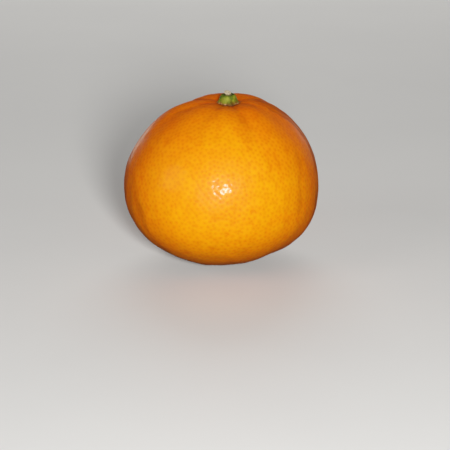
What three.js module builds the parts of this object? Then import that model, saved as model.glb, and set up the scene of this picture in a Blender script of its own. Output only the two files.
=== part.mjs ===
// A whole mandarin, clipped from its twig: the fruit, its green calyx and the stub of its stalk.
// Millimetres. +Z runs up through the crown, -Y is the front, and the fruit stands at Z = 0 on the
// small flat spot of its base. The origin is the middle of the fruit's outline at that height.

import * as THREE from "three";

// The fruit's skin
const FRUIT_WIDTH = 62; // across the fullest ring
const BELLY_HEIGHT = 24; // of the fullest ring above the base
const CROWN_RISE = 30.4; // from the fullest ring to the crown, before the basin sinks it
const CROWN_TAPER = 1.13; // how fast the shoulders draw in: 1 is an ellipse, more is leaner
const CROWN_FULLNESS = 0.99; // how early the shoulders reach their height: less is higher
const BASE_TAPER = 1.3;
const BASE_FULLNESS = 0.785;
const FLAT_RADIUS = 6; // of the spot that it rests on
const CROWN_LEAN = { right: 2.45, front: 0.45 }; // how far the crown stands off the middle
const BASE_LEAN = { right: 0.05, front: 0 };
const BASIN_DEPTH = 2.95; // the hollow of the crown that the calyx sits in
const BASIN_RADIUS = 6.6;
const SCAR_DEPTH = 0.7; // the dimple at the base where the flower's style fell off
const SCAR_RADIUS = 2.4;
const SKIN_SEGMENTS = 80; // around
const SKIN_RINGS = 44; // from pole to pole

// The fullest ring isn't quite round: it swells by each size, this many times round, first at azimuth
const SWELLS = [
  { times: 2, size: 0.65, azimuth: 45 },
  { times: 3, size: -0.07, azimuth: 30 },
  { times: 5, size: 0.12, azimuth: 18 },
];

// Furrows run down from the calyx over the shoulders, or up from the base. Azimuths are in degrees
// from +X towards +Y, and a furrow is deepest at the latitude peak and fades out by the latitude end.
// The last three are broad: a flat low down on the left, and two low swellings.
const FURROWS = [
  { azimuth: 27, width: 11, depth: 0.55, peak: 46, end: -8 },
  { azimuth: 84, width: 9, depth: 0.25, peak: 62, end: 12 },
  { azimuth: 150, width: 13, depth: 0.9, peak: 60, end: 20 },
  { azimuth: 196, width: 12, depth: 0.25, peak: 64, end: 22 },
  { azimuth: 243, width: 12, depth: 0.35, peak: 66, end: 30 },
  { azimuth: 291, width: 13, depth: 0.6, peak: 66, end: 24 },
  { azimuth: 338, width: 12, depth: 0.45, peak: 62, end: 22 },
  { azimuth: 229, width: 13, depth: 0.2, peak: -34, end: 18 },
  { azimuth: 60, width: 14, depth: 0.5, peak: -40, end: 8 },
  { azimuth: 128, width: 12, depth: 0.4, peak: -42, end: 4 },
  { azimuth: 322, width: 13, depth: 0.3, peak: -46, end: -6 },
  { azimuth: 185, width: 34, depth: 1.25, peak: -30, end: 14 },
  { azimuth: 176, width: 20, depth: -0.6, peak: 50, end: 30 },
  { azimuth: 355, width: 25, depth: -0.65, peak: -40, end: 0 },
];

// The calyx: five sepals grown together into a domed button with a pointed, uneven star for its rim
const CALYX_RADIUS = 2.95; // of the button between its points
const CALYX_HEIGHT = 3.1;
const CALYX_DISH = 0.5; // the rim stands this much higher than the middle of the underside
const CALYX_SEAT = 1.8; // radius where the underside starts to rise
const RIM_THICKNESS = 0.35;
const SHOULDER = { radius: 2.1, drop: 1.4 }; // of the dome, below its flat top
const COLLAR = 0.35; // width of the flat top round the stub
const POINTS_RISE = 1.9; // height up to which the dome is drawn out towards its points
const DOME_STEPS = 8;
const CALYX_SEGMENTS = 60;
const SEPALS = [
  { azimuth: 283, reach: 1.4 },
  { azimuth: 358, reach: 0.75 },
  { azimuth: 62, reach: 0.8 },
  { azimuth: 124, reach: 0.7 },
  { azimuth: 190, reach: 0.7 },
];
const SEPAL_WIDTH = 22; // degrees either side of a point
const SEPAL_SHARPNESS = 1.3;

// The stub of the stalk, which stands in the middle of the calyx and was clipped aslant
const STUB_RADIUS = 1.05;
const STUB_HEIGHT = 0.45; // above the calyx
const STUB_ROOT = 1.2; // sunk into the calyx
const STUB_NECK = -0.2; // just below the calyx's top, where it starts to widen
const STUB_FLARE = 1.12; // the crushed end is wider than the neck
const STUB_LEAN = 0.25; // the end stands this far to the left of the root
const CUT_SLOPE = 0.3; // the cut faces the front and a little to the right
const CUT_AZIMUTH = 285;
const STUB_SEGMENTS = 24;

const CLEARANCE = 0.2; // between pieces that grow on each other

const RADIANS = Math.PI / 180;

// A smooth step from 0 at a to 1 at b; a may be the larger
function ramp(x, a, b) {
  const t = THREE.MathUtils.clamp((x - a) / (b - a), 0, 1);
  return t * t * (3 - 2 * t);
}

// The angle between two azimuths, in degrees
const apart = (a, b) => Math.abs(((a - b + 540) % 360) - 180);

// How far the furrows sink the skin at an azimuth and latitude
function furrowDepth(azimuth, latitude) {
  let depth = 0;
  for (const furrow of FURROWS) {
    const across = Math.exp(-((apart(azimuth, furrow.azimuth) / furrow.width) ** 2));
    const pole = furrow.peak > 0 ? 90 : -90;
    const pastPeak = Math.abs(latitude) > Math.abs(furrow.peak) && latitude * pole > 0;
    const along = ramp(latitude, pastPeak ? pole : furrow.end, furrow.peak);
    depth += furrow.depth * across * along;
  }
  return depth;
}

// The base would round out just below Z = 0, so that Z = 0 cuts the flat spot at its radius
const FLAT_OUT = (FLAT_RADIUS / (FRUIT_WIDTH / 2)) ** (1 / BASE_TAPER);
const BASE_DROP = BELLY_HEIGHT / Math.sqrt(1 - FLAT_OUT ** 2) ** BASE_FULLNESS;

// The half profile at a latitude, from -90 at the base to 90 at the crown: its radius, and its
// height over the fullest ring
function profile(latitude) {
  const out = Math.cos(latitude * RADIANS);
  const up = Math.sin(Math.abs(latitude) * RADIANS);
  if (latitude < 0) {
    const radius = (FRUIT_WIDTH / 2) * out ** BASE_TAPER;
    return { radius, height: -BASE_DROP * up ** BASE_FULLNESS };
  }
  const radius = (FRUIT_WIDTH / 2) * out ** CROWN_TAPER;
  const basin = BASIN_DEPTH * Math.exp(-((radius / BASIN_RADIUS) ** 2));
  return { radius, height: CROWN_RISE * up ** CROWN_FULLNESS - basin };
}

// A point of the skin at an azimuth and latitude
function skinPoint(azimuth, latitude) {
  const { radius, height } = profile(latitude);
  let reach = radius;
  for (const swell of SWELLS) {
    const share = Math.cos(swell.times * (azimuth - swell.azimuth) * RADIANS);
    reach += (swell.size * share * radius) / (FRUIT_WIDTH / 2);
  }
  const angle = azimuth * RADIANS;
  const point = new THREE.Vector3(reach * Math.cos(angle), reach * Math.sin(angle), height);
  point.setLength(point.length() - furrowDepth(azimuth, latitude));
  const lean = latitude > 0 ? CROWN_LEAN : BASE_LEAN;
  const pole = Math.sin(latitude * RADIANS) ** 2;
  point.x += lean.right * pole;
  point.y -= lean.front * pole;
  point.z = Math.max(point.z + BELLY_HEIGHT, 0);
  if (latitude < 0 && radius < SCAR_RADIUS) {
    point.z += SCAR_DEPTH * (1 - (radius / SCAR_RADIUS) ** 2) ** 2;
  }
  return point;
}

// Moves each vertex of a geometry to where place(vertex) says
function reshape(geometry, place) {
  const position = geometry.getAttribute("position");
  const vertex = new THREE.Vector3();
  for (let i = 0; i < position.count; i++) {
    vertex.fromBufferAttribute(position, i);
    position.setXYZ(i, ...place(vertex.clone()));
  }
  geometry.computeVertexNormals();
  return geometry;
}

const azimuthOf = (vertex) => (Math.atan2(vertex.y, vertex.x) / RADIANS + 360) % 360;

// The fruit, one body from the skin inwards
function makeFruit() {
  const sphere = new THREE.SphereGeometry(1, SKIN_SEGMENTS, SKIN_RINGS).rotateX(Math.PI / 2);
  const skin = reshape(sphere, (vertex) => {
    const latitude = Math.asin(THREE.MathUtils.clamp(vertex.z, -1, 1)) / RADIANS;
    return skinPoint(azimuthOf(vertex), latitude);
  });
  const peel = new THREE.MeshStandardMaterial({ color: 0xf29a0c, roughness: 0.42, metalness: 0 });
  const fruit = new THREE.Mesh(skin, peel);
  fruit.name = "fruit";
  return fruit;
}

// How far the rim stands out past the button at an azimuth
function sepalReach(azimuth) {
  let reach = 0;
  for (const sepal of SEPALS) {
    const off = apart(azimuth, sepal.azimuth) / SEPAL_WIDTH;
    reach = Math.max(reach, sepal.reach * Math.max(0, 1 - off) ** SEPAL_SHARPNESS);
  }
  return reach;
}

// The calyx, turned as a dome with a socket for the stub, then drawn out into its points
function makeCalyx() {
  const socket = STUB_RADIUS + CLEARANCE;
  const socketFloor = CALYX_HEIGHT - STUB_ROOT - CLEARANCE;
  const dome = new THREE.CubicBezierCurve(
    new THREE.Vector2(CALYX_RADIUS, CALYX_DISH + RIM_THICKNESS),
    new THREE.Vector2(CALYX_RADIUS, CALYX_HEIGHT - SHOULDER.drop),
    new THREE.Vector2(SHOULDER.radius, CALYX_HEIGHT),
    new THREE.Vector2(socket + COLLAR, CALYX_HEIGHT),
  );
  const outline = [
    new THREE.Vector2(0, 0),
    new THREE.Vector2(CALYX_SEAT, 0),
    new THREE.Vector2(CALYX_RADIUS, CALYX_DISH),
    ...dome.getPoints(DOME_STEPS),
    new THREE.Vector2(socket, CALYX_HEIGHT),
    new THREE.Vector2(socket, socketFloor),
    new THREE.Vector2(0, socketFloor),
  ];
  const button = new THREE.LatheGeometry(outline, CALYX_SEGMENTS).rotateX(Math.PI / 2);
  const star = reshape(button, (vertex) => {
    const radius = Math.hypot(vertex.x, vertex.y);
    const low = ramp(vertex.z, POINTS_RISE, CALYX_DISH + RIM_THICKNESS);
    const rimShare = ramp(radius, socket, CALYX_RADIUS) * low;
    const stretch = 1 + (sepalReach(azimuthOf(vertex)) * rimShare) / CALYX_RADIUS;
    return new THREE.Vector3(vertex.x * stretch, vertex.y * stretch, vertex.z);
  });
  const green = new THREE.MeshStandardMaterial({ color: 0x6f7d14, roughness: 0.5, metalness: 0 });
  const calyx = new THREE.Mesh(star, green);
  calyx.name = "calyx";
  return calyx;
}

// The stub, a short woody peg that leans a little and ends in a slanting cut
function makeStub() {
  const foot = CALYX_HEIGHT - STUB_ROOT;
  const top = CALYX_HEIGHT + STUB_HEIGHT;
  const neck = CALYX_HEIGHT + STUB_NECK;
  const outline = [
    new THREE.Vector2(0, foot),
    new THREE.Vector2(STUB_RADIUS, foot),
    new THREE.Vector2(STUB_RADIUS, neck),
    new THREE.Vector2(STUB_RADIUS * STUB_FLARE, top),
    new THREE.Vector2(0, top),
  ];
  const angle = CUT_AZIMUTH * RADIANS;
  const peg = new THREE.LatheGeometry(outline, STUB_SEGMENTS).rotateX(Math.PI / 2);
  const clipped = reshape(peg, (vertex) => {
    const end = ramp(vertex.z, neck, top);
    const towardsCut = vertex.x * Math.cos(angle) + vertex.y * Math.sin(angle);
    vertex.z -= end * CUT_SLOPE * towardsCut;
    vertex.x -= end * STUB_LEAN;
    return vertex;
  });
  const wood = new THREE.MeshStandardMaterial({ color: 0xcdbb9a, roughness: 0.85, metalness: 0 });
  const stub = new THREE.Mesh(clipped, wood);
  stub.name = "stalk_stub";
  return stub;
}

const mandarin = new THREE.Group();
const fruit = makeFruit();
mandarin.add(fruit);

// The calyx and the stub share the crown's own place and lean
const crown = new THREE.Group();
crown.position.copy(skinPoint(0, 90));
crown.position.z += CLEARANCE;
crown.add(makeCalyx(), makeStub());
mandarin.add(crown);

// The middle of the fruit's outline comes to the origin
const middle = new THREE.Box3().setFromObject(fruit).getCenter(new THREE.Vector3());
mandarin.position.set(-middle.x, -middle.y, 0);

export default mandarin;
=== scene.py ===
# A whole mandarin, clipped from its twig: the looks of its rind, its green calyx and the stub of
# its stalk. Metres. +Z runs up through the crown, -Y is the front, and it stands at Z = 0.

import math

import bmesh
import bpy
import numpy as np
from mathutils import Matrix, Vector, noise
from mathutils.bvhtree import BVHTree
from mathutils.kdtree import KDTree


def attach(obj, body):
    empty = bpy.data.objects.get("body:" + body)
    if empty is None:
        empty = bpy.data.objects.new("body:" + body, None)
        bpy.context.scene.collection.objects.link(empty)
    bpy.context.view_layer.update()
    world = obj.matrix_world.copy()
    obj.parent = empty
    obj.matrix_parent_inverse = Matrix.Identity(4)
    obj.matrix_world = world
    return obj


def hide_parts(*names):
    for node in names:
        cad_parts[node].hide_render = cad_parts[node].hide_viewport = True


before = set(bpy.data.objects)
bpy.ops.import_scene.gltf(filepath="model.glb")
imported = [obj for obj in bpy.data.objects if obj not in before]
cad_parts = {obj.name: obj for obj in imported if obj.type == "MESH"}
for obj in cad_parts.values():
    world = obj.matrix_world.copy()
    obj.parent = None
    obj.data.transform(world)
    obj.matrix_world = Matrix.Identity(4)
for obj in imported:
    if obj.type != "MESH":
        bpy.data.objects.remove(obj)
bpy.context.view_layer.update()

# The camera stands 0.8 m from the fruit and looks down on it by 20 degrees, as the photograph does.
# It aims a little above and to the right of the spot that the fruit stands on.
MM = 0.001
CAMERA_AWAY = 0.8
CAMERA_DOWN = math.radians(20)
AIM_RIGHT = 1.15 * MM
AIM_UP = 10.11 * MM
LENS = 199.7

looking = Vector((0, math.cos(CAMERA_DOWN), -math.sin(CAMERA_DOWN)))
upright = Vector((0, math.sin(CAMERA_DOWN), math.cos(CAMERA_DOWN)))
camera = bpy.data.objects.new("photo_camera", bpy.data.cameras.new("photo_camera"))
camera.data.lens = LENS
camera.data.sensor_width = 36
camera.data.clip_start = 0.01
camera.location = Vector((AIM_RIGHT, 0, 0)) + upright * AIM_UP - looking * CAMERA_AWAY
camera.rotation_euler = (math.radians(90) - CAMERA_DOWN, 0, 0)
bpy.context.collection.objects.link(camera)
bpy.context.scene.camera = camera

# The picture is developed as the photograph was: its brightest tones are held back by a soft
# curve, which runs straight at first and levels out towards the whitest tone.
WHITEST = 1.25
GAIN = 1.15
TONES = (0.25, 0.5, 0.8, 1.2, 1.7, 2.3, 3.0)


def developed(light):
    """How bright the picture shows a light."""
    return WHITEST * (1 - math.exp(-GAIN * light / WHITEST))


developing = bpy.context.scene.view_settings
developing.view_transform = "Standard"
developing.use_curve_mapping = True
tone_curve = developing.curve_mapping
tone_curve.use_clip = False
for each in tone_curve.curves:
    each.points[1].location = (TONES[-1], TONES[-1])
tone = tone_curve.curves[3]  # the one for all three colours together
tone.points[1].location = (TONES[-1], developed(TONES[-1]))
for light in TONES[:-1]:
    tone.points.new(light, developed(light))
tone_curve.update()


# The floor is a wide sheet of pale matte board with a faint mottle, and isn't part of the fruit.
# It takes the fruit's shadow, but doesn't tint the fruit, shade it or show in its gloss.
FLOOR_REACH = 2.5
BOARD = (0.77, 0.78, 0.86, 1)  # bluish, to balance the warm lights
BOARD_DARKER = (0.71, 0.72, 0.80, 1)


class Wire:
    """A socket in a material's nodes, which sums can be written with."""

    def __init__(self, tree, socket):
        self.tree = tree
        self.socket = socket

    def add(self, kind, settings=None, sockets=None, output=None):
        """Adds a node: its type, its settings, then the values or links of its sockets."""
        node = self.tree.nodes.new("ShaderNode" + kind)
        for name, value in (settings or {}).items():
            setattr(node, name, value)
        for name, value in (sockets or {}).items():
            self.join(value, self.find(node.inputs, name))
        return Wire(self.tree, self.find(node.outputs, output))

    def find(self, sockets, name):
        """The socket of a name, or the first one where no name is given."""
        for socket in sockets:
            if socket.enabled and name in (None, socket.identifier, socket.name):
                return socket
        raise KeyError(name)

    def join(self, value, socket):
        """Links a wire to a socket, or sets the socket to a plain value."""
        if isinstance(value, Wire):
            self.tree.links.new(value.socket, socket)
        else:
            socket.default_value = value

    def sum(self, operation, first, second):
        """A sum of two wires or numbers, made by a Math node."""
        sockets = {"Value": first, "Value_001": second}
        return self.add("Math", {"operation": operation}, sockets)

    def __add__(self, other):
        return self.sum("ADD", self, other)

    def __sub__(self, other):
        return self.sum("SUBTRACT", self, other)

    def __mul__(self, other):
        return self.sum("MULTIPLY", self, other)

    def __rsub__(self, other):
        return self.sum("SUBTRACT", other, self)

    __radd__ = __add__
    __rmul__ = __mul__

    def step(self, low, high):
        """A smooth step from 0 where this is low to 1 where it is high."""
        settings = {"interpolation_type": "SMOOTHSTEP"}
        return self.add("MapRange", settings, {"Value": self, "From Min": low, "From Max": high})

    def tint(self, under, over, blend="MIX"):
        """The colour under, turning to the colour over as this goes from 0 to 1."""
        settings = {"data_type": "RGBA", "clamp_factor": True, "blend_type": blend}
        sockets = {"Factor_Float": self, "A_Color": under, "B_Color": over}
        return self.add("Mix", settings, sockets, "Result_Color")

    def cloud(self, size, detail=2.0, roughness=0.5):
        """Noise from about 0 to 1 at this place, in lumps of about size millimetres."""
        sockets = {"Vector": self, "Scale": 1 / size, "Detail": detail, "Roughness": roughness}
        return self.add("TexNoise", None, sockets, "Fac")

    def distance(self, spot):
        """How far this place is from a spot, in millimetres."""
        sockets = {"Vector": self, "Vector_001": spot}
        return self.add("VectorMath", {"operation": "DISTANCE"}, sockets, "Value")

    def painted(self, name):
        """A value that is painted on the piece's points."""
        return self.add("Attribute", {"attribute_name": name}, None, "Fac")


def new_finish(name):
    """A material, its shader node, and a wire of the place on the piece in millimetres."""
    finish = bpy.data.materials.new(name)
    finish.use_nodes = True
    tree = finish.node_tree
    shader = tree.nodes["Principled BSDF"]
    here = Wire(tree, None).add("TexCoord", output="Object")
    place = here.add("VectorMath", {"operation": "SCALE"}, {"Vector": here, "Scale": 1 / MM})
    return finish, shader, place


def set_finish(shader, wire, values):
    """Sets the shader's sockets to plain values or to wires."""
    for name, value in values.items():
        wire.join(value, shader.inputs[name])


def new_piece(name, points, faces, finish, paint=None):
    """A smooth-shaded piece from points in metres, with values painted on them."""
    mesh = bpy.data.meshes.new(name)
    mesh.from_pydata(np.asarray(points).tolist(), [], [list(face) for face in faces])
    mesh.materials.append(finish)
    mesh.shade_smooth()
    for label, values in (paint or {}).items():
        layer = mesh.attributes.new(label, "FLOAT", "POINT")
        layer.data.foreach_set("value", np.asarray(values, dtype=np.float32))
    piece = bpy.data.objects.new(name, mesh)
    bpy.context.collection.objects.link(piece)
    return piece


board, shader, place = new_finish("pale_board")
mottle = place.cloud(60, 3)
set_finish(shader, place, {"Base Color": mottle.tint(BOARD, BOARD_DARKER), "Roughness": 0.6})
corners = [(-1, -1, 0), (1, -1, 0), (1, 1, 0), (-1, 1, 0)]
floor = new_piece("floor", np.array(corners) * FLOOR_REACH, [(0, 1, 2, 3)], board)
floor.visible_diffuse = False
floor.visible_glossy = False
floor.visible_shadow = False


# A small round key light stands by the camera, a little below it, with a dim reflector to its
# left. A big one lights the back, and two weak ones make the sheen on the shoulders. Those two
# reach below the floor, which casts no shadow and so lets them through.
FRUIT_MIDDLE = Vector((0, 0, 0.026))
LIGHTS = [
    # name, azimuth from the front towards the right, elevation, distance, width, height, watts
    ("key_light", 5.5, 17.5, 0.6, 0.09, 0.09, 5.9),
    ("key_reflector", -60, 24, 0.9, 0.5, 0.5, 1.3),
    ("back_light", 180, 26, 0.9, 0.7, 0.7, 5.0),
    ("left_light", -158, -3, 0.8, 0.2, 0.16, 0.3),
    ("right_light", 150, 4, 0.8, 0.16, 0.36, 0.24),
]
WARM_WHITE = (1.0, 0.97, 0.84)
ROOM = (1.0, 0.98, 0.95, 1)
ROOM_STRENGTH = 0.045

for name, azimuth, elevation, away, width, height, watts in LIGHTS:
    lamp = bpy.data.lights.new(name, "AREA")
    lamp.shape = "ELLIPSE"
    lamp.size = width
    lamp.size_y = height
    lamp.energy = watts
    lamp.color = WARM_WHITE
    turn, rise = math.radians(azimuth), math.radians(elevation)
    outward = Vector((
        math.sin(turn) * math.cos(rise), -math.cos(turn) * math.cos(rise), math.sin(rise)
    ))
    light = bpy.data.objects.new(name, lamp)
    light.location = FRUIT_MIDDLE + outward * away
    light.rotation_euler = outward.to_track_quat("Z", "Y").to_euler()
    light.visible_camera = False
    light.visible_glossy = name != "back_light"
    bpy.context.collection.objects.link(light)

room = bpy.data.worlds.new("pale_room")
room.use_nodes = True
room.node_tree.nodes["Background"].inputs["Color"].default_value = ROOM
room.node_tree.nodes["Background"].inputs["Strength"].default_value = ROOM_STRENGTH
bpy.context.scene.world = room


# The rind is the fruit's thin leathery outer skin, full of small round oil glands. Each gland is
# a pit of its own, a point of the net that the skin is built on, and the skin between them is
# gently uneven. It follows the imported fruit, and grows on the flesh under it.
GLANDS = 5200
PEEL_SEED = 11
STRAYING = 0.25  # how far a gland strays, as a share of the gap between glands
EVENING_ROUNDS = 2  # how often each gland then moves halfway to the middle of its neighbours
HEART = Vector((0.3, -0.3, 25)) * MM  # the middle, from which the skin is cast
CROWN = (2.3, -0.63, 51.7)  # the hollow that the calyx sits in, in mm
SCAR = (-0.10, -0.18, 0.5)  # where the flower's style fell off the base, in mm
PIT_DEPTH = (0.035, 0.07)  # mm
PIT_WIDTH = (0.42, 0.62)
PITS_NEAR = 3  # how many pits shape each point of the skin
PIT_MIDDLE = 0.05  # mm, added to a distance, so that nothing is divided by 0
LUMPS = [
    # how wide, how tall and how high the unevenness is, in mm
    (8.0, 8.0, 0.14),
    (3.4, 3.4, 0.06),
    (3.0, 15.0, 0.07),
]
PUCKERS = 6.5  # how closely the puckers stand round the calyx
PUCKER_LENGTH = 5
PUCKER_DEPTH = 0.2
PUCKER_SHADE = 0.5
PUCKERS_START, PUCKERS_END = (2.6, 3.8), (5.5, 12)  # how far from the calyx's axis
CROWN_SIDE = (30, 40)  # the heights between which the crown's side of the fruit begins
CREASES = [
    # width, depth, painted shade in it (for the scuff, its own dark mark), and reach of the painted
    # shade
    #     # behind it, then latitudes and azimuths from +X. The first runs down the right shoulder.
    (0.7, 0.2, 0.5, 3, (4, 24, 31, 40, 46, 51, 57, 63, 74), (-6, -2, -1, -1, -3, -6, -8, -6, -6)),
    # a broad furrow on the left flank, only painted shade with no depth, and a scuff low on the
    # right one
    (2.6, 0.0, 0.42, 0, (-36, -20, -8, -1, 6, 16), (-131, -138, -143, -145.5, -150, -154)),
    (1.2, 0.06, 0.3, 1.2, (-22, -14, -8, 2), (-17, -14, -12, -12)),
    # a faint band on the right of the front, a streak left of the calyx, and a crease at the back
    (1.6, 0.05, 0.2, 0, (-12, 0, 11, 20, 34), (-36, -36, -35, -29, -27)),
    (0.6, 0.06, 0.2, 0, (52, 63, 68, 72, 80), (-166, -163, -159, -142, -120)),
    (1.1, 0.18, 0.2, 0, (-6, 14, 34, 52), (152, 148, 146, 150)),
]
CREASE_FADE = 8  # degrees of latitude over which each end fades out
WANDER, WANDER_LENGTH = 0.5, 2.2  # how far a crease strays from its line, and how often
HOLLOW_NEIGHBOURS = 60  # a gland is in a hollow where it lies lower than these do on average


def smooth_form(node):
    """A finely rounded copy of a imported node, to cast rays at."""
    form = bpy.data.objects.new("form", node.data.copy())
    bpy.context.collection.objects.link(form)
    welded = bmesh.new()
    welded.from_mesh(form.data)
    bmesh.ops.remove_doubles(welded, verts=welded.verts, dist=1e-6)
    welded.to_mesh(form.data)
    welded.free()
    rounding = form.modifiers.new("rounding", "SUBSURF")
    rounding.levels = 2
    tree = BVHTree.FromObject(form, bpy.context.evaluated_depsgraph_get())
    mesh = form.data
    bpy.data.objects.remove(form)
    bpy.data.meshes.remove(mesh)
    return tree


def on_ball(points):
    """The points, moved straight out or in to a ball of radius 1."""
    return points / np.linalg.norm(points, axis=1)[:, None]


def wrap(points):
    """The triangles that join points on a ball to their neighbours, facing outwards."""
    ball = bmesh.new()
    for point in points * 100:  # made large, so that the hull tells close points apart
        ball.verts.new(point)
    ball.verts.index_update()
    bmesh.ops.convex_hull(ball, input=ball.verts, use_existing_faces=False)
    ball.verts.index_update()
    triangles = np.array([[corner.index for corner in face.verts] for face in ball.faces])
    ball.free()
    a, b, c = points[triangles].transpose(1, 0, 2)
    inward = np.einsum("ij,ij->i", np.cross(b - a, c - a), a) < 0
    triangles[inward] = triangles[inward][:, ::-1]
    return triangles


def quarter(points, triangles):
    """Splits each triangle on a ball in four."""
    sides = np.sort(triangles[:, [[0, 1], [1, 2], [2, 0]]].reshape(-1, 2), axis=1)
    pairs, middle = np.unique(sides, axis=0, return_inverse=True)
    ab, bc, ca = middle.reshape(-1, 3).T + len(points)
    a, b, c = triangles.T
    fours = np.stack([a, ab, ca, ab, b, bc, ca, bc, c, ab, bc, ca], axis=1)
    return np.concatenate([points, on_ball(points[pairs].mean(axis=1))]), fours.reshape(-1, 3)


def cast(tree, directions):
    """Where rays from the heart leave a form, and its outward normals there, in mm."""
    hits = [tree.ray_cast(HEART, Vector(direction)) for direction in directions]
    return np.array([hit[0] for hit in hits]) / MM, np.array([hit[1] for hit in hits])


def near(centres, points, count):
    """The indices of the nearest centres to each point, and how far they are."""
    tree = KDTree(len(centres))
    for index, centre in enumerate(centres):
        tree.insert(centre, index)
    tree.balance()
    found = [tree.find_n(point, count) for point in points]
    indices = np.array([[hit[1] for hit in hits] for hits in found])
    return indices, np.array([[hit[2] for hit in hits] for hits in found])


def smooth(values, low, high):
    """A smooth step from 0 where values are low to 1 where they are high."""
    share = np.clip((values - low) / (high - low), 0, 1)
    return share * share * (3 - 2 * share)


chance = np.random.default_rng(PEEL_SEED)
step = np.arange(GLANDS) + 0.5
height = 1 - 2 * step / GLANDS
turn = math.pi * (1 + 5**0.5) * step
across = np.sqrt(1 - height**2)
glands = np.stack([across * np.cos(turn), across * np.sin(turn), height], axis=1)
gap = math.sqrt(4 * math.pi / GLANDS)
glands = on_ball(glands + chance.normal(0, STRAYING * gap, glands.shape))
for _ in range(EVENING_ROUNDS):
    net = wrap(glands)
    sides = np.concatenate([net[:, [0, 1]], net[:, [1, 2]], net[:, [2, 0]]])
    total, count = np.zeros_like(glands), np.full((GLANDS, 1), 1e-9)
    np.add.at(total, sides[:, 0], glands[sides[:, 1]])
    np.add.at(count, sides[:, 0], 1)
    glands = on_ball(0.5 * glands + 0.5 * total / count)

directions, triangles = quarter(*quarter(glands, wrap(glands)))
skin_form = smooth_form(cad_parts["fruit"])
skin, outward = cast(skin_form, directions)
pits = skin[:GLANDS]
pit_depth = chance.uniform(*PIT_DEPTH, GLANDS)
pit_width = chance.uniform(*PIT_WIDTH, GLANDS)

reach = np.linalg.norm(pits - np.array(HEART) / MM, axis=1)
around, _ = near(pits, pits, HOLLOW_NEIGHBOURS)
pit_hollow = reach[around].mean(axis=1) - reach

which, away = near(pits, skin, PITS_NEAR)
pit = np.exp(-((away / pit_width[which]) ** 2))
sink = (pit_depth[which] * pit).sum(axis=1)
gland = pit.sum(axis=1)
weight = 1 / (away + PIT_MIDDLE)
hollow = (pit_hollow[which] * weight).sum(axis=1) / weight.sum(axis=1)

lift = np.zeros(len(skin))
for wide, tall, rise in LUMPS:
    squeezed = skin / (wide, wide, tall)
    lift += rise * np.array([noise.noise(Vector(point)) for point in squeezed])

right, back = skin[:, 0] - CROWN[0], skin[:, 1] - CROWN[1]
turn, out = np.arctan2(back, right), np.hypot(right, back)
waves = np.stack([np.cos(turn) * PUCKERS, np.sin(turn) * PUCKERS, out / PUCKER_LENGTH], axis=1)
pucker = np.clip([noise.noise(Vector(wave)) for wave in waves], 0, 1)
pucker *= smooth(out, *PUCKERS_START) * (1 - smooth(out, *PUCKERS_END))
pucker *= smooth(skin[:, 2], *CROWN_SIDE)
sink += PUCKER_DEPTH * pucker
# the puckers are painted darker as shade
hollow += PUCKER_SHADE * pucker

shade_and_scuff_behind = np.zeros(len(skin))
latitude = np.degrees(np.arcsin(directions[:, 2]))
azimuth = np.degrees(np.arctan2(directions[:, 1], directions[:, 0]))
wander = WANDER * np.array([noise.noise(Vector(point) / WANDER_LENGTH) for point in skin])
for width, depth, shade_and_stain, shade_and_scuff_reach, rows, turns in CREASES:
    beyond = (azimuth - np.interp(latitude, rows, turns) + 540) % 360 - 180
    beyond = np.radians(beyond) * np.hypot(skin[:, 0], skin[:, 1]) + wander
    length = smooth(latitude, rows[0], rows[0] + CREASE_FADE)
    length *= 1 - smooth(latitude, rows[-1] - CREASE_FADE, rows[-1])
    crease = np.exp(-((beyond / width) ** 2)) * length
    sink += depth * crease
    hollow += shade_and_stain * crease
    # painted shade on the skin behind a crease, which turns away from the light; behind the scuff,
    # its dark mark
    if shade_and_scuff_reach:
        shade_and_scuff_behind += smooth(beyond, -width, width) * (1 - smooth(beyond, shade_and_scuff_reach, 2 * shade_and_scuff_reach)) * length
skin += outward * (lift - sink)[:, None]
skin[:, 2] = np.maximum(skin[:, 2], 0)  # nothing sinks below the spot it stands on

peel, shader, place = new_finish("mandarin_peel")
GROUND = (0.93, 0.31, 0.001, 1)
GROUND_DEEP = (0.89, 0.245, 0.001, 1)
PAINTED_SHADE_ORANGE = (0.78, 0.145, 0.001, 1)
GLAND_SHADE = (0.86, 0.68, 0.5, 1)
CROWN_ORANGE = (0.62, 0.10, 0.001, 1)
UNDER_SHADE_ORANGE = (0.66, 0.105, 0.001, 1)
FURROW_SHADE_AND_STAIN = (0.46, 0.075, 0.001, 1)
SHADE_AND_SCUFF_BROWN = (0.30, 0.055, 0.004, 1)
SEAT_SHADOW_BROWN = (0.22, 0.05, 0.004, 1)
SCAR_BROWN = (0.16, 0.07, 0.02, 1)
LIT_FRONT_MIDDLE = (2, -31, 27)  # the middle of the lit front; painted shade grows away from it, in mm

blotches = place.cloud(18, 3, 0.5)
mottles = place.cloud(3.0, 2, 0.55)
flecks = place.cloud(0.9, 2, 0.6)
ragged = place.cloud(3.0, 3, 0.6) - 0.5
gland_spot = place.painted("gland")
deepness = (blotches * 0.45 + mottles * 0.3 + flecks * 0.25).step(0.36, 0.66)
# painted shade: the skin turns darker and redder away from the lit front, as the light falls off
# towards the sides
painted_shade = (place.distance(LIT_FRONT_MIDDLE) + (blotches - 0.5) * 20).step(11, 42)
rise = place.add("SeparateXYZ", None, {"Vector": place}, "Z")
# painted shade: darker and redder towards the bottom, where the light falls off under the fruit
painted_under_shade = 1 - (rise + (blotches - 0.5) * 8).step(2, 24)
from_crown = place.distance(CROWN)
near_crown = 1 - (from_crown + ragged * 7).step(3.0, 16)
# painted shadow: a dark brown ring on the skin round the calyx's foot, under its rim
calyx_seat_shadow = 1 - (from_crown + ragged * 1.2).step(3.2, 4.4)
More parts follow.
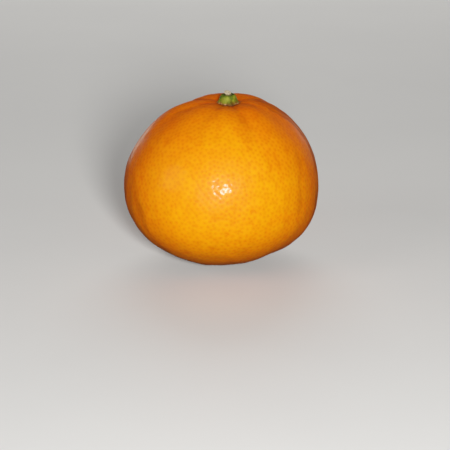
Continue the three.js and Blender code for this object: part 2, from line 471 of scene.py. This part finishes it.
# painted shade in the hollows between glands, the puckers and the creases, with the scuff's own
# dark mark
furrow_shade_and_stain = (place.painted("hollow") + ragged * 0.12).step(0.0, 0.45)
dot = gland_spot * (0.5 + flecks)
scar = 1 - (place.distance(SCAR) + ragged * 1.2).step(0.9, 1.9)

colour = (deepness * 0.7).tint(GROUND, GROUND_DEEP)
colour = painted_shade.tint(colour, PAINTED_SHADE_ORANGE)
colour = (painted_under_shade * 0.6).tint(colour, UNDER_SHADE_ORANGE)
colour = (furrow_shade_and_stain * 0.6).tint(colour, FURROW_SHADE_AND_STAIN)
colour = (near_crown * 0.8).tint(colour, CROWN_ORANGE)
colour = (place.painted("shade_and_scuff_behind") * 0.6).tint(colour, SHADE_AND_SCUFF_BROWN)
colour = dot.tint(colour, GLAND_SHADE, "MULTIPLY")
colour = (calyx_seat_shadow * 0.8).tint(colour, SEAT_SHADOW_BROWN)
colour = scar.tint(colour, SCAR_BROWN)

grain = place.cloud(0.35, 2, 0.6)
relief = {"Strength": 0.2, "Distance": 0.08 * MM, "Height": grain * 0.6 - gland_spot * 0.5}
set_finish(shader, place, {
    "Base Color": colour,
    "Roughness": 0.42 + 0.10 * flecks + 0.08 * near_crown,
    "Normal": place.add("Bump", None, relief, "Normal"),
    "Specular IOR Level": 0.09,
    "Coat Weight": 0.09 - 0.05 * near_crown,
    "Coat Roughness": 0.11,
    "Subsurface Weight": 0.35,
    "Subsurface Radius": (1.0, 0.3, 0.05),
    "Subsurface Scale": 2.5 * MM,
})

paint = {"gland": gland, "hollow": hollow, "shade_and_scuff_behind": shade_and_scuff_behind}
rind = new_piece("rind", skin * MM, triangles, peel, paint)
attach(rind, "root")
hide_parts("fruit")


# The calyx is five green sepals grown together into a tall domed button, with ribs down their
# middles and a thin dry rim drawn out into an uneven star. It sits in the hollow of the crown.
CALYX_FOOT = np.array([2.15, -0.632, 51.65])  # mm
DOME = [  # radius and rise of the button above its foot
    (1.2, 2.6), (1.35, 2.8), (1.6, 2.9), (1.95, 2.8), (2.3, 2.48), (2.6, 2.0), (2.8, 1.45),
    (2.88, 0.95), (2.9, 0.6),
]
SEPALS = [(281, 1.9), (352, 0.5), (62, 0.8), (124, 0.7), (188, 0.7)]  # azimuth, reach
SEPAL_SPREAD = 26  # degrees either side of a point
RIB_HEIGHT = 0.08
RIB_SPREAD = 10
THROAT = (1.2, 1.8)  # radius and rise of the opening that the stub stands in
RIM_RADIUS = 2.98  # between the points
RIM_SWELL, RIM_FRAY = 0.06, 0.05  # how far it strays from that, in broad and in fine waves
RIM_THICKNESS = 0.10
RIM_LIFT, RIM_CURL = 0.05, 0.06  # how far its underside is off the skin, and how that varies
DOME_SWELL = 0.05
FLARE_START = 2.4  # the radius where the dome begins to run out into the rim
UNDER_RIM = (0.4, 0.9, 1.6)  # how far in from the rim the underside's rings lie
CALYX_TURNS = 240
DOME_RINGS = 36

azimuths = np.linspace(0, 2 * math.pi, CALYX_TURNS, endpoint=False)
unit = np.stack([np.cos(azimuths), np.sin(azimuths)], axis=1)


def apart(azimuth):
    """How far each turn is from an azimuth, in degrees."""
    return np.abs((np.degrees(azimuths) - azimuth + 540) % 360 - 180)


def wavy(turns, times, level):
    """An uneven wave round the axis, from about -1 to 1: how busy it is, and its own number."""
    ring = np.stack([np.cos(turns) * times, np.sin(turns) * times, np.full_like(turns, level)], 1)
    return np.array([noise.noise(Vector(point)) for point in ring]) * 1.6


def skin_rise(flat):
    """How high the skin is over the calyx's foot at places given from its axis, in mm."""
    down = Vector((0, 0, -1))
    places = (CALYX_FOOT[:2] + flat) * MM
    hits = [skin_form.ray_cast(Vector((x, y, 0.06)), down)[0].z for x, y in places]
    return np.array(hits) / MM - CALYX_FOOT[2]


def loft(rings):
    """Quads that join rings of points, each end closed with a fan to its middle."""
    count, turns = len(rings), len(rings[0])
    ends = [rings[0].mean(axis=0), rings[-1].mean(axis=0)]
    last = (count - 1) * turns
    middle = count * turns
    faces = []
    for turn in range(turns):
        following = (turn + 1) % turns
        for ring in range(0, last, turns):
            a, b = ring + turn, ring + following
            faces.append((a, a + turns, b + turns, b))
        faces.append((middle, turn, following))
        faces.append((middle + 1, last + following, last + turn))
    return np.vstack([*rings, ends]), faces


reach = np.zeros(CALYX_TURNS)
rib = np.zeros(CALYX_TURNS)
for azimuth, length in SEPALS:
    off = apart(azimuth)
    reach = np.maximum(reach, length * np.maximum(0, 1 - off / SEPAL_SPREAD) ** 1.4)
    rib = np.maximum(rib, np.exp(-((off / RIB_SPREAD) ** 2)))
rim = RIM_RADIUS + reach
rim += RIM_SWELL * wavy(azimuths, 3.1, 1.7) + RIM_FRAY * wavy(azimuths, 9, 4.2)
curl = RIM_LIFT + RIM_CURL * np.clip(wavy(azimuths, 2.3, 8.1), -0.7, 1)
rim_rise = skin_rise(unit * rim[:, None]) + curl

rings = [np.column_stack([unit * THROAT[0], np.full(CALYX_TURNS, THROAT[1])])]
edge = [np.zeros(CALYX_TURNS)]
for share in np.linspace(0, 1, DOME_RINGS):
    along = DOME[0][0] + share**0.8 * (DOME[-1][0] - DOME[0][0])
    rise = np.interp(along, *np.transpose(DOME))
    low = max(0, (along - FLARE_START) / (DOME[-1][0] - FLARE_START)) ** 3
    spread = along + (rim - DOME[-1][0]) * low
    bulge = math.sin(math.pi * min(1, share * 1.05))
    swell = DOME_SWELL * wavy(azimuths, 4 + 2 * share, 2.6)
    dome = rise + (rib * RIB_HEIGHT + swell) * bulge
    level = dome * (1 - low) + (rim_rise + RIM_THICKNESS) * low
    rings.append(np.column_stack([unit * spread[:, None], level]))
    edge.append(np.full(CALYX_TURNS, share))
rings.append(np.column_stack([unit * rim[:, None], rim_rise]))
for inset in UNDER_RIM:
    flat = unit * (rim - inset)[:, None]
    rings.append(np.column_stack([flat, skin_rise(flat) + RIM_LIFT]))
while len(edge) < len(rings):
    edge.append(np.ones(CALYX_TURNS))

star, faces = loft(rings)
sepals, shader, place = new_finish("green_sepals")
GREEN = (0.070, 0.105, 0.004, 1)
GREEN_LIGHT = (0.20, 0.22, 0.012, 1)
GREEN_DARK = (0.022, 0.036, 0.003, 1)
BROWN = (0.14, 0.055, 0.006, 1)
DRY_RIM = (0.42, 0.22, 0.12, 1)
DRY_BROWN = (0.15, 0.06, 0.012, 1)

to_edge = place.painted("edge")
patches = place.cloud(1.2, 3, 0.6)
pores = place.add("TexVoronoi", None, {"Vector": place, "Scale": 3.2}, "Distance").step(0.0, 0.3)
fibres = place.cloud(0.2, 3, 0.6)
dry = (to_edge + (place.cloud(0.9, 3, 0.6) - 0.5) * 0.25).step(0.95, 0.99)
browned = (to_edge + (place.cloud(2.0, 2, 0.5) - 0.5) * 0.5).step(0.82, 0.98)
colour = patches.step(0.4, 0.62).tint(GREEN, GREEN_LIGHT)
# painted shade: darker green over the top of the dome, round the stub's foot
colour = ((1 - to_edge.step(0.05, 0.55)) * 0.9).tint(colour, GREEN_DARK)
colour = ((1 - pores) * 0.45).tint(colour, GREEN_DARK)
colour = (browned * 0.9).tint(colour, BROWN)
bleached = place.cloud(1.6, 1, 0.5).step(0.42, 0.56)
colour = (dry * 0.9).tint(colour, bleached.tint(DRY_BROWN, DRY_RIM))
relief = {"Strength": 0.5, "Distance": 0.1 * MM, "Height": fibres + pores * 0.6}
set_finish(shader, place, {
    "Base Color": colour,
    "Roughness": 0.5 + 0.3 * dry + 0.1 * fibres,
    "Normal": place.add("Bump", None, relief, "Normal"),
    "Specular IOR Level": 0.3,
    "Coat Weight": 0.08 - 0.08 * dry,
    "Coat Roughness": 0.25,
    "Subsurface Weight": 0.08,
    "Subsurface Radius": (0.4, 0.6, 0.1),
    "Subsurface Scale": 0.8 * MM,
})
paint = {"edge": np.concatenate([*edge, [0, 1]])}  # the last two are the middles of the ends
calyx_button = new_piece("calyx_button", (star + CALYX_FOOT) * MM, faces, sepals, paint)
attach(calyx_button, "root")
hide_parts("calyx")


# The stub is the end of the woody stalk, in the middle of the calyx. The clippers cut it aslant
# # and crushed it a little, so a thin rim of bark, painted near black partly as shade under the
# cut,
# # stands round pale fibrous wood.
STUB_TURNS = 96
STUB_RADIUS = 1.03
STUB_FOOT, STUB_NECK, STUB_TOP = 1.95, 2.9, 3.55  # above the calyx's foot
STUB_FLARE = 0.02
STUB_LEAN = 0.25
RIDGES, FINE_RIDGES = 0.05, 0.02
CUT_SLOPE = 0.3
CUT_TURN = math.radians(285)
CUT_WAVE, CUT_SWELL = 0.04, 0.05  # how uneven the cut is, at its rim and inside it
CUT_GROOVE, CUT_SINK = 0.06, 0.05  # how deep the groove inside the bark is, and the middle
SIDE_RINGS = 22
CUT_RINGS = 14

turns = np.linspace(0, 2 * math.pi, STUB_TURNS, endpoint=False)
unit = np.stack([np.cos(turns), np.sin(turns)], axis=1)
ridges = RIDGES * wavy(turns, 6, 3.3) + FINE_RIDGES * wavy(turns, 14, 9.3)
rings, cut = [], []
for share in np.linspace(0, 1, SIDE_RINGS):
    rise = STUB_FOOT + (STUB_TOP - STUB_FOOT) * share
    end = smooth(rise, STUB_NECK, STUB_TOP)
    flat = unit * (STUB_RADIUS * (1 + STUB_FLARE * end) + ridges * (0.3 + 0.7 * end))[:, None]
    slope = end * CUT_SLOPE * (flat @ (math.cos(CUT_TURN), math.sin(CUT_TURN)))
    flat[:, 0] -= STUB_LEAN * end
    rings.append(np.column_stack([flat, rise - slope + CUT_WAVE * end * wavy(turns, 7, 5.5)]))
    cut.append(np.full(STUB_TURNS, max(0, share * 5 - 4)))  # bark turns to wood in the last fifth
outline = rings[-1]
middle = outline.mean(axis=0)
for share in np.linspace(0, 1, CUT_RINGS + 1)[1:-1]:
    ring = outline + (middle - outline) * share
    dent = CUT_GROOVE * math.exp(-(((share - 0.2) / 0.1) ** 2)) + CUT_SINK * share**3
    ring[:, 2] += CUT_SWELL * share * wavy(turns, 4 * (1 - share) + 0.5, 6.5 + share) - dent
    rings.append(ring)
    cut.append(np.ones(STUB_TURNS))

peg, faces = loft(rings)
faces = [face[::-1] for face in faces]
stalk_wood, shader, place = new_finish("cut_stalk")
WOOD = (0.56, 0.48, 0.36, 1)
WOOD_DARK = (0.30, 0.22, 0.14, 1)
BARK_AND_SHADE = (0.06, 0.045, 0.015, 1)
BARK_LIGHT = (0.20, 0.16, 0.06, 1)

squeeze = {"Vector": place, "Vector_001": (3.0, 3.0, 0.6)}
along = place.add("VectorMath", {"operation": "MULTIPLY"}, squeeze)
streaks = along.cloud(0.6, 3, 0.65)
# the bark, painted near black, partly as painted shade under the cut's rim
bark_and_shade = streaks.step(0.35, 0.65).tint(BARK_AND_SHADE, BARK_LIGHT)
wood = place.cloud(0.3, 3, 0.6).step(0.4, 0.75).tint(WOOD, WOOD_DARK)
relief = {"Strength": 0.6, "Distance": 0.12 * MM, "Height": streaks}
set_finish(shader, place, {
    "Base Color": place.painted("cut").step(0.1, 0.7).tint(bark_and_shade, wood),
    "Roughness": 0.75 + 0.15 * streaks,
    "Normal": place.add("Bump", None, relief, "Normal"),
})
paint = {"cut": np.concatenate([*cut, [0, 1]])}
stalk_end = new_piece("stalk_end", (peg + CALYX_FOOT) * MM, faces, stalk_wood, paint)
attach(stalk_end, "root")
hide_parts("stalk_stub")
